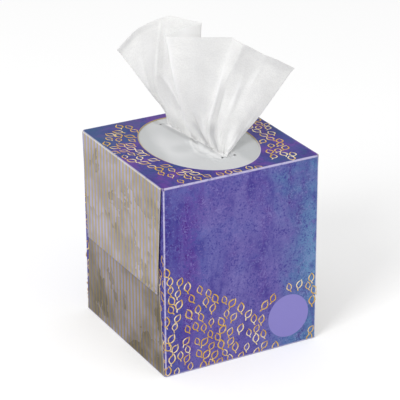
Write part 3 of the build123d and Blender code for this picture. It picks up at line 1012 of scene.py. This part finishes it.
def rib_places(rib):
    """One rib of the sheet: its tail, the slit, the lip over it, the neck, the fan and the edge."""
    along, pleat = rib[0]
    share = (SLIT_END_GAP + along * (SLIT_LENGTH - 2 * SLIT_END_GAP)) / SLIT_LENGTH
    tail = (*on_slit(share, -TAIL_REACH), PILE_TOP + TAIL_LIFT)
    x, y = on_slit(share, pleat * PLEAT_DEPTH * 0.6 + 0.8)
    places = [Vector(tail), Vector((x, y, FILM_BOTTOM - 1)), Vector((x, y, FILM_TOP + 1))]
    for across, toward, up in rib[1:]:
        across, toward = across * PLUME_WIDTH, toward * PLUME_DEPTH
        x = across * math.cos(PLUME_TURN) + toward * math.sin(PLUME_TURN)
        y = across * math.sin(PLUME_TURN) - toward * math.cos(PLUME_TURN)
        places.append(Vector((x, y, FILM_TOP + up * PLUME_HEIGHT)))
    return places


def grid_normals(grid):
    """The sheet's direction of thickness at each place of the grid."""
    rows, columns = len(grid), len(grid[0])
    normals = []
    for i in range(rows):
        line = []
        for j in range(columns):
            up = grid[min(i + 1, rows - 1)][j] - grid[max(i - 1, 0)][j]
            across = grid[i][min(j + 1, columns - 1)] - grid[i][max(j - 1, 0)]
            line.append(across.cross(up).normalized())
        normals.append(line)
    return normals


def tissue_creases():
    """Creases that fan out of the slit: (place across, drift, start, end, depth, width)."""
    chance = random.Random(CREASE_SEED)
    creases = []
    for _ in range(CREASES):
        start = chance.uniform(0.0, 0.25)
        creases.append((
            chance.random(),
            chance.uniform(-0.03, 0.03),
            start,
            start + chance.uniform(0.2, 0.7),
            chance.choice((-1, 1)) * chance.uniform(0.25, 1.0),
            chance.uniform(0.004, 0.012),
        ))
    return creases


def crease_height(creases, across, up):
    """What the creases add up to at a place of the fan, as a share of their full depth."""
    total = 0
    for middle, drift, start, end, depth, width in creases:
        off = abs(across - middle - drift * up)
        if start < up < end and off < width * 5:
            fade = min(ramp_up(start, start + 0.08, up), 1 - ramp_up(end - 0.15, end, up))
            total += depth * fade * math.exp(-off / width)
    return total


def line_sum(lines, up, rib, fades):
    """What a list of lines adds up to at a place of the fan; fades are at a line's top and bottom."""
    total = 0
    for points, amount, left, right, *short in lines:
        top, bottom = points[0][0], points[-1][0]
        if not bottom <= up <= top:
            continue
        off = rib - between([(-level, line) for level, line in points], -up)
        reach = abs(off) / (left if off < 0 else right)
        if reach < 4:
            length_up = top - bottom
            fade = short[0] if short else fades[0]
            above = 1 if top == 1 else 1 - ramp_up(top - fade * length_up, top, up)
            below = 1 if bottom == 0 else ramp_up(bottom, bottom + fades[1] * length_up, up)
            total += amount * above * below * math.exp(-reach ** 1.15)
    return total


def tissue_relief(across, up, place, creases, looks):
    """How far the sheet stands off its smooth shape, in millimetres."""
    rib = across * (len(RIBS) - 1)
    wander = waver(across * 9, up * 2.2, 4.0)
    pleats = math.sin(2 * math.pi * (across * SMALL_PLEATS + wander * 1.3)) * math.exp(-up / 0.11)
    soft = waver(place.x / 15, place.y / 15, place.z / 24) * ramp_up(0.05, 0.35, up)
    small = 0.3 * waver(across * 30, up * 6, 7.7) * ramp_up(0.02, 0.2, up)
    creased = crease_height(creases, across, up)
    relief = (looks.pleat * pleats + looks.wave * (soft + small) + looks.crease * creased) / MM

    # both edges of the sheet curl at the top, and the folds turn over where the sheet turns its back
    edge = ramp_up(0.92, 1.0, up) * (ramp_up(10.8, 11.6, rib) + 1 - ramp_up(0.8, 1.6, rib))
    facing = 1 if rib <= 5 or rib >= 7 else -1 + 2 * abs(rib - 6)
    return relief + 0.6 * edge + facing * line_sum(FOLDS, up, rib, FOLD_FADES)


def tissue_sheet(looks):
    """The first tissue as a fine mesh through its ribs, with pleats, waves and creases."""
    ribs = [smooth_run(rib_places(rib), ROW_COUNTS) for rib in RIBS]
    column_counts = [RIB_COLUMNS] * (len(RIBS) - 1)
    grid = [smooth_run(row, column_counts, SHARP_RIBS) for row in zip(*ribs)]
    normals = grid_normals(grid)
    last_row, last_column = len(grid) - 1, len(grid[0]) - 1
    creases = tissue_creases()
    first_free = ROW_COUNTS[0] + ROW_COUNTS[1]
    shape = bmesh.new()
    flat = shape.loops.layers.uv.new("sheet")
    tone = shape.verts.layers.float.new("tone")
    verts = []
    for i, row in enumerate(grid):
        up = max(i - first_free, 0) / (last_row - first_free)
        free = ramp_up(first_free - 1, first_free + 3, i)
        line = []
        for j, place in enumerate(row):
            across = j / last_column
            relief = tissue_relief(across, up, place, creases, looks) * free
            vert = shape.verts.new((place + normals[i][j] * relief) * MM)
            # painted highlight and shade that each corner carries
            vert[tone] = line_sum(PAINTED_LIGHT_AND_SHADE, up, across * (len(RIBS) - 1), PAINTED_LIGHT_AND_SHADE_FADES)
            line.append(vert)
        verts.append(line)
    for i in range(last_row):
        for j in range(last_column):
            corners = [(i, j), (i, j + 1), (i + 1, j + 1), (i + 1, j)]
            made = shape.faces.new([verts[row][column] for row, column in corners])
            made.smooth = True
            for loop, (row, column) in zip(made.loops, corners):
                loop[flat].uv = (column / last_column, row / last_row)
    return finished_mesh(shape, "first_tissue")


def soft_paper(looks):
    """Creped white tissue that lets a little light through, with painted highlights and shade along its
    folds.
    """
    f = Finish("soft_paper")
    sheet = f.node("ShaderNodeUVMap", {"uv_map": "sheet"})
    crepe = f.clouds(f.stretched(sheet, (210.0, 95.0, 1.0)), 1.0, 3.0, 0.6)
    lines = f.clouds(f.stretched(sheet, (60.0, 160.0, 1.0)), 1.0, 2.0, 0.5)
    flock = f.clouds(f.stretched(sheet, (14.0, 10.0, 1.0)), 1.0, 3.0, 0.6)
    tone = f.attribute("tone")
    # painted highlights and painted shade along the folds, from each corner
    shade = f.layered(
        looks.white,
        (f.rise(flock, 0.3, 0.7) * 0.35, PAPER_FLOCK),
        (f.rise(crepe + lines * 0.5, 0.6, 0.9) * 0.26, PAPER_CREPE),
        (tone, PAPER_PAINTED_HIGHLIGHT),
        (-tone, PAPER_PAINTED_SHADE),
    )
    relief = f.bump(crepe + lines, 0.0001, 0.6)
    inputs = {"Base Color": shade, "Roughness": 0.95, "Normal": relief, "Specular IOR Level": 0.1}
    through = f.node("ShaderNodeBsdfTranslucent", None, {"Color": shade, "Normal": relief})
    return f.done(f.node("ShaderNodeMixShader", None, (0.45, f.surface(inputs), through)))


def pile_paper(looks):
    """The pile's tissues: fine layers at the sides, creped faces."""
    f = Finish("pile_paper")
    layers = f.clouds(f.stretched(f.place(), (0.25, 0.25, 4.0)), 0.6, 3.0, 0.6)
    shade = f.mix(f.rise(layers, 0.35, 0.65) * 0.2, looks.white, PAPER_LAYER)
    inputs = {"Base Color": shade, "Roughness": 0.95, "Normal": f.bump(layers, 0.0003, 0.5)}
    return f.done(f.surface(inputs))


# One operator for each piece

class DressCarton(bpy.types.Operator):
    """Prints the folded carton"""

    bl_idname = "tissue_box.dress_carton"
    bl_label = "Print the carton"

    def execute(self, context):
        dress("carton", printed_board(context.scene.tissue_box.carton))
        return {"FINISHED"}


class CloseCorners(bpy.types.Operator):
    """Closes the small openings of the corners, above and below the dust flaps, with webs of board"""

    bl_idname = "tissue_box.close_corners"
    bl_label = "Close the corners"

    def execute(self, context):
        shape = bmesh.new()
        size = Matrix.Diagonal((*(edge * MM for edge in WEB_SIZE), 1))
        for side in (-1, 1):
            for end in (-1, 1):
                for level in (WEB_INSET[2], HEIGHT - WEB_INSET[2]):
                    middle = (side * (HALF_WIDTH - WEB_INSET[0]), end * (HALF_DEPTH - WEB_INSET[1]), level)
                    web = Matrix.Translation(Vector(middle) * MM) @ size
                    bmesh.ops.create_cube(shape, size=1, matrix=web)
        mesh = finished_mesh(shape, "corner_webs")
        add_piece("corner_webs", mesh, bpy.data.materials["printed_board"])
        return {"FINISHED"}


class GrowGoldLeaves(bpy.types.Operator):
    """Strews the drawn gold leaves over the front, the top and the back"""

    bl_idname = "tissue_box.grow_gold_leaves"
    bl_label = "Grow the gold leaves"

    def execute(self, context):
        looks = context.scene.tissue_box.gold
        carton = context.scene.tissue_box.carton
        ink_material = gold_ink(looks)
        tree = leaf_tree(ink_material)
        shared = {
            "Spacing": looks.spacing,
            "Leaf length": looks.leaf_length,
            "Leaf width": looks.leaf_width,
            "Line width": looks.line_width,
            "Spread": LEAF_LEAN,
            "Bare radius": carton.label_radius + 0.55 * looks.leaf_length,
            "Bare middle": (carton.label_x, -HALF_DEPTH * MM, carton.label_z),
        }
        print_shape = bmesh.new()
        for number, (corners, growth, limits) in enumerate(self.areas()):
            values = dict(shared, Growth=growth, Seed=looks.seed + number)
            part = bmesh.new()
            part.from_mesh(grow(panel_area(corners), tree, values))
            self.trim(part, limits)
            print_shape.from_mesh(finished_mesh(part, "trimmed"))
        mesh = finished_mesh(print_shape, "gold_leaves")
        if not mesh.polygons:
            raise RuntimeError("no gold leaf was grown")
        add_piece("gold_leaves", mesh, ink_material)
        return {"FINISHED"}

    @staticmethod
    def areas():
        """Each area of the print: its corners, the way its leaves grow, and its limits in x and y."""
        up = (0.0, 0.0, 1.0)
        leaning = (0.1, 0.0, 1.0)
        front = [(x, -HALF_DEPTH, z) for x, z in FRONT_BAND]
        back = [(-x, HALF_DEPTH, z) for x, z in BACK_BAND]
        found = [(front, leaning, (PRINT_EDGE, UNTRIMMED)), (back, up, (PRINT_EDGE, UNTRIMMED))]
        for angles, growth in RING_PARTS:
            found.append((ring_area(*angles), growth, (PRINT_EDGE, PRINT_EDGE)))
        inner, foot, head = DUST_STRIP
        for x in (-DUST_FACE, DUST_FACE):
            for end in (-1, 1):
                strip = [(inner, foot), (PRINT_EDGE, foot), (PRINT_EDGE, head), (inner, head)][::end]
                found.append(([(x, end * y, z) for y, z in strip], up, (UNTRIMMED, PRINT_EDGE)))
        return found

    @staticmethod
    def trim(part, limits):
        """Cuts the print off where a panel ends, and closes the cuts."""
        cuts = [
            ((1, 0, 0), limits[0]),
            ((-1, 0, 0), limits[0]),
            ((0, 1, 0), limits[1]),
            ((0, -1, 0), limits[1]),
            ((0, 0, -1), -FOLD_RADIUS),
        ]
        for way, limit in cuts:
            everything = part.verts[:] + part.edges[:] + part.faces[:]
            found = bmesh.ops.bisect_plane(part, geom=everything, plane_co=Vector(way) * limit * MM,
                                           plane_no=way, clear_outer=True)
            rim = [item for item in found["geom_cut"] if isinstance(item, bmesh.types.BMEdge)]
            bmesh.ops.holes_fill(part, edges=rim)


class LayFilm(bpy.types.Operator):
    """Lays the film window under the mouth, slit and crumpled"""

    bl_idname = "tissue_box.lay_film"
    bl_label = "Lay the film"

    def execute(self, context):
        looks = context.scene.tissue_box.film
        mesh = film_sheet(looks)
        piece = add_piece("film_window_sheet", mesh, hazy_film(looks), "film_window")
        cutter = self.end_cuts()
        add_wall(piece, looks.thickness)
        cuts = piece.modifiers.new("cuts", "BOOLEAN")
        cuts.operation = "DIFFERENCE"
        cuts.object = cutter
        cuts.solver = "EXACT"
        cuts.use_self = True
        finished = evaluated_mesh(piece)
        piece.modifiers.clear()
        piece.data = finished
        bpy.data.objects.remove(cutter)
        return {"FINISHED"}

    @staticmethod
    def end_cuts():
        """The cross cut at each end of the slit, and the round stop hole at each of its ends."""
        shape = bmesh.new()
        scale = Matrix.Scale(MM, 4)
        turn = Matrix.Rotation(SLIT_TURN, 4, "Z")
        cut_size = Matrix.Diagonal((CROSS_CUT_LENGTH, CROSS_CUT_WIDTH, CUTTER_HEIGHTS[0], 1))
        radius = STOP_HOLE / 2
        for share in (0, 1):
            middle = Matrix.Translation(Vector((*on_slit(share, 0), FILM_TOP)))
            bmesh.ops.create_cube(shape, size=1, matrix=scale @ middle @ turn @ cut_size)
            for across in (-CROSS_CUT_LENGTH / 2, CROSS_CUT_LENGTH / 2):
                hole = Matrix.Translation(Vector((*on_slit(share, across), FILM_TOP)))
                bmesh.ops.create_cone(shape, cap_ends=True, segments=24, radius1=radius, radius2=radius,
                                      depth=CUTTER_HEIGHTS[1], matrix=scale @ hole)
        return put("end_cuts", finished_mesh(shape, "end_cuts"))


class FinishPile(bpy.types.Operator):
    """Gives the pile its layered paper"""

    bl_idname = "tissue_box.finish_pile"
    bl_label = "Finish the pile"

    def execute(self, context):
        dress("tissue_clip", pile_paper(context.scene.tissue_box.tissue))
        return {"FINISHED"}


class RaiseTissue(bpy.types.Operator):
    """Raises the first tissue through the slit"""

    bl_idname = "tissue_box.raise_tissue"
    bl_label = "Raise the tissue"

    def execute(self, context):
        looks = context.scene.tissue_box.tissue
        mesh = tissue_sheet(looks)
        piece = add_piece("first_tissue", mesh, soft_paper(looks), "pop_up_tissue")
        add_wall(piece, looks.thickness)
        return {"FINISHED"}


class SetStage(bpy.types.Operator):
    """Sets the floor, the soft light and the camera"""

    bl_idname = "tissue_box.set_stage"
    bl_label = "Set the stage"

    def execute(self, context):
        looks = context.scene.tissue_box.stage
        self.lay_floor(looks)
        self.light_sky(context, looks)
        self.hang_lamp("key_lamp", *KEY_LAMP, looks.key)
        self.hang_lamp("fill_lamp", *FILL_LAMP, looks.fill)
        self.place_camera(context, looks)
        context.scene.view_settings.view_transform = "Standard"
        return {"FINISHED"}

    def lay_floor(self, looks):
        shape = bmesh.new()
        bmesh.ops.create_grid(shape, x_segments=1, y_segments=1, size=FLOOR_HALF)
        mesh = finished_mesh(shape, "floor")
        f = Finish("floor_paper")
        rays = f.node("ShaderNodeLightPath", output="Is Camera Ray")
        glow = f.node("ShaderNodeEmission", None, {"Color": (1, 1, 1), "Strength": rays * FLOOR_GLOW})
        plain = f.node("ShaderNodeBsdfDiffuse", None, {"Color": looks.floor})
        mesh.materials.append(f.done(f.node("ShaderNodeAddShader", None, (plain, glow))))
        floor = put("floor", mesh)
        floor.location.z = -FLOOR_DROP

    def light_sky(self, context, looks):
        """Soft light from all round, and plain white where the sky is seen or mirrored."""
        world = bpy.data.worlds.new("sky")
        world.use_nodes = True
        context.scene.world = world
        g = Graph(world.node_tree)
        light, white = [
            g.node("ShaderNodeBackground", None, {"Color": (1, 1, 1), "Strength": strength})
            for strength in (looks.sky, 1.0)
        ]
        camera, glossy, through = [
            g.node("ShaderNodeLightPath", output=f"Is {kind} Ray")
            for kind in ("Camera", "Glossy", "Transmission")
        ]
        seen = camera.at_least(glossy).at_least(through)
        sky = g.node("ShaderNodeMixShader", None, (seen, light, white))
        g.node("ShaderNodeOutputWorld", None, {"Surface": sky})

    def hang_lamp(self, name, place, size, watts):
        lamp = bpy.data.lights.new(name, "AREA")
        lamp.shape = "SQUARE"
        lamp.size = size
        lamp.energy = watts
        hung = put(name, lamp)
        hung.location = place
        hung.rotation_euler = (LAMP_AIM - Vector(place)).to_track_quat("-Z", "Y").to_euler()

    def place_camera(self, context, looks):
        turn, lift = looks.azimuth, looks.elevation
        back = Vector((math.sin(turn) * math.cos(lift), -math.cos(turn) * math.cos(lift), math.sin(lift)))
        right = Vector((math.cos(turn), math.sin(turn), 0))
        up = back.cross(right)
        rolled = right * math.cos(looks.roll) + up * math.sin(looks.roll)
        lens = bpy.data.cameras.new("camera")
        lens.lens = looks.focal
        lens.sensor_width = SENSOR_WIDTH
        lens.clip_end = 20
        camera = put("camera", lens)
        axes = Matrix((rolled, back.cross(rolled), back)).transposed().to_4x4()
        camera.matrix_world = Matrix.Translation(CAMERA_TARGET + back * looks.distance) @ axes
        context.scene.camera = camera


class TissueBoxPanel(bpy.types.Panel):
    """Lists the pieces of the tissue box and what a user can change."""

    bl_idname = "VIEW3D_PT_tissue_box"
    bl_label = "Tissue box"
    bl_space_type = "VIEW_3D"
    bl_region_type = "UI"
    bl_category = "Tissue box"

    def draw(self, context):
        box = context.scene.tissue_box
        for operator, group in STEPS:
            part = self.layout.box()
            part.operator(operator.bl_idname)
            if group:
                settings = getattr(box, group)
                for name in settings.bl_rna.properties.keys():
                    if name not in ("rna_type", "name"):
                        part.prop(settings, name)


STEPS = [
    (SetStage, "stage"),
    (DressCarton, "carton"),
    (CloseCorners, None),
    (GrowGoldLeaves, "gold"),
    (LayFilm, "film"),
    (FinishPile, None),
    (RaiseTissue, "tissue"),
]
KINDS = [CartonLooks, GoldLooks, FilmLooks, TissueLooks, StageLooks, TissueBox]
KINDS += [operator for operator, _ in STEPS] + [TissueBoxPanel]


def register():
    for kind in KINDS:
        bpy.utils.register_class(kind)
    bpy.types.Scene.tissue_box = PointerProperty(type=TissueBox)


def unregister():
    del bpy.types.Scene.tissue_box
    for kind in reversed(KINDS):
        bpy.utils.unregister_class(kind)


def main():
    """Makes every piece in order."""
    register()
    for operator, _ in STEPS:
        family, name = operator.bl_idname.split(".")
        getattr(getattr(bpy.ops, family), name)()


if __name__ == "__main__":
    main()
